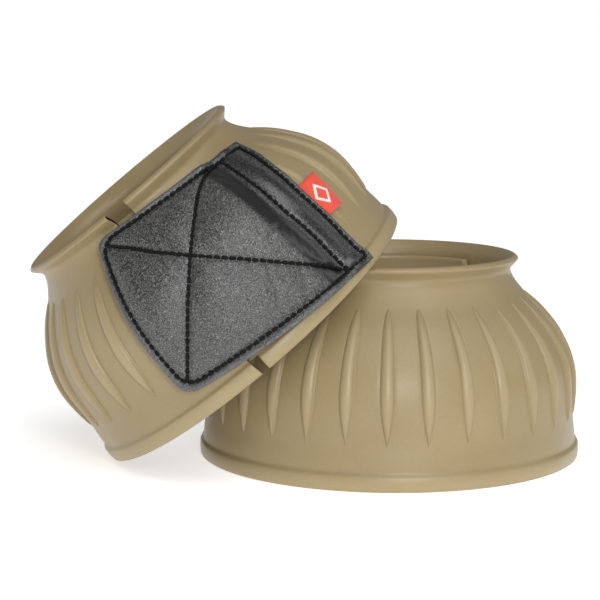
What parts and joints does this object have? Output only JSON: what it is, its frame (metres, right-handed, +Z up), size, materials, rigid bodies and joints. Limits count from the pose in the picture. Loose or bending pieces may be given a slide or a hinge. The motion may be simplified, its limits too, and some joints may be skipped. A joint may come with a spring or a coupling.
{
  "type": "bell boots",
  "caption": "Pair of ribbed rubber bell boots with double hook-and-loop closures, one standing and one leaning on it, for covering a horse's hoof and pastern.",
  "frame": {"origin": "bottom centre of the pair's bounding box, on the surface that the boots stand on", "axes": "+Z up, +X from the leaning boot towards the standing one, -Y towards the viewer and the leaning boot's closure"},
  "size_m": [0.2641, 0.1997, 0.1687],
  "materials": {
    "rubber": "satin moulded rubber, khaki tan",
    "leather": "fine-grained black synthetic leather, semi-gloss",
    "foam": "open-cell foam, matte",
    "lining": "knitted lining, matte",
    "hook_and_loop": "hook and loop pile, matte",
    "thread": "twisted polyester thread",
    "ribbon": "woven satin ribbon"
  },
  "bodies": {
    "standing_loop_side": {"standing_shell_loop_half": "rubber", "standing_outer_loop_panel": "hook_and_loop", "standing_inner_loop_panel": "hook_and_loop"},
    "standing_flap_side": {"standing_shell_flap_half": "rubber", "standing_anchor_band": "leather", "standing_anchor_thread_inner": "thread", "standing_anchor_thread_outer": "thread", "standing_tag": "ribbon", "standing_inner_flap_root": "rubber"},
    "standing_outer_flap": {"standing_outer_flap_face": "leather", "standing_outer_flap_foam": "foam", "standing_outer_flap_lining": "lining", "standing_outer_flap_hook_panel": "hook_and_loop", "standing_outer_flap_hem_thread": "thread", "standing_outer_flap_cross_thread_a": "thread", "standing_outer_flap_cross_thread_b": "thread"},
    "standing_inner_flap": {"standing_inner_flap_end": "rubber", "standing_inner_flap_hook_panel": "hook_and_loop"},
    "leaning_loop_side": {"leaning_shell_loop_half": "rubber", "leaning_outer_loop_panel": "hook_and_loop", "leaning_inner_loop_panel": "hook_and_loop"},
    "leaning_flap_side": {"leaning_shell_flap_half": "rubber", "leaning_anchor_band": "leather", "leaning_anchor_thread_inner": "thread", "leaning_anchor_thread_outer": "thread", "leaning_tag": "ribbon", "leaning_inner_flap_root": "rubber"},
    "leaning_outer_flap": {"leaning_outer_flap_face": "leather", "leaning_outer_flap_foam": "foam", "leaning_outer_flap_lining": "lining", "leaning_outer_flap_hook_panel": "hook_and_loop", "leaning_outer_flap_hem_thread": "thread", "leaning_outer_flap_cross_thread_a": "thread", "leaning_outer_flap_cross_thread_b": "thread"},
    "leaning_inner_flap": {"leaning_inner_flap_end": "rubber", "leaning_inner_flap_hook_panel": "hook_and_loop"}
  },
  "joints": [
    {"name": "standing_spread", "type": "hinge", "parent": "standing_loop_side", "child": "standing_flap_side", "pos_m": [0.0253, -0.09035, 0.00783], "axis": [-0.0252, -0.1593, -0.9869], "range_deg": [0, 25], "stiffness_Nm_per_rad": 2},
    {"name": "standing_outer_flap_peel", "type": "hinge", "parent": "standing_flap_side", "child": "standing_outer_flap", "pos_m": [0.10215, 0.09126, 0.009], "axis": [0.2067, 0.2952, -0.9328], "range_deg": [0, 150]},
    {"name": "standing_inner_flap_bend", "type": "hinge", "parent": "standing_flap_side", "child": "standing_inner_flap", "pos_m": [0.04713, 0.08405, 0.00667], "axis": [-0.0315, -0.3596, 0.9326], "range_deg": [0, 30], "stiffness_Nm_per_rad": 0.2},
    {"name": "leaning_lift", "type": "slide", "parent": "standing_loop_side", "child": "leaning_loop_side", "axis": [0, 0, 1], "range_m": [0, 0.12]},
    {"name": "leaning_spread", "type": "hinge", "parent": "leaning_loop_side", "child": "leaning_flap_side", "pos_m": [-0.04991, 0.08364, 0.0551], "axis": [-0.5961, -0.2247, 0.7708], "range_deg": [0, 25], "stiffness_Nm_per_rad": 2},
    {"name": "leaning_outer_flap_peel", "type": "hinge", "parent": "leaning_flap_side", "child": "leaning_outer_flap", "pos_m": [0.02371, -0.08717, 0.10244], "axis": [-0.7818, 0.2125, 0.5862], "range_deg": [0, 150]},
    {"name": "leaning_inner_flap_bend", "type": "hinge", "parent": "leaning_flap_side", "child": "leaning_inner_flap", "pos_m": [-0.01652, -0.08335, 0.06636], "axis": [0.6552, -0.2874, -0.6986], "range_deg": [0, 20], "stiffness_Nm_per_rad": 0.2}
  ],
  "couplings": [
    {"joint": "standing_outer_flap_peel", "follows": "standing_spread", "ratio": 6},
    {"joint": "leaning_outer_flap_peel", "follows": "leaning_spread", "ratio": 6}
  ]
}
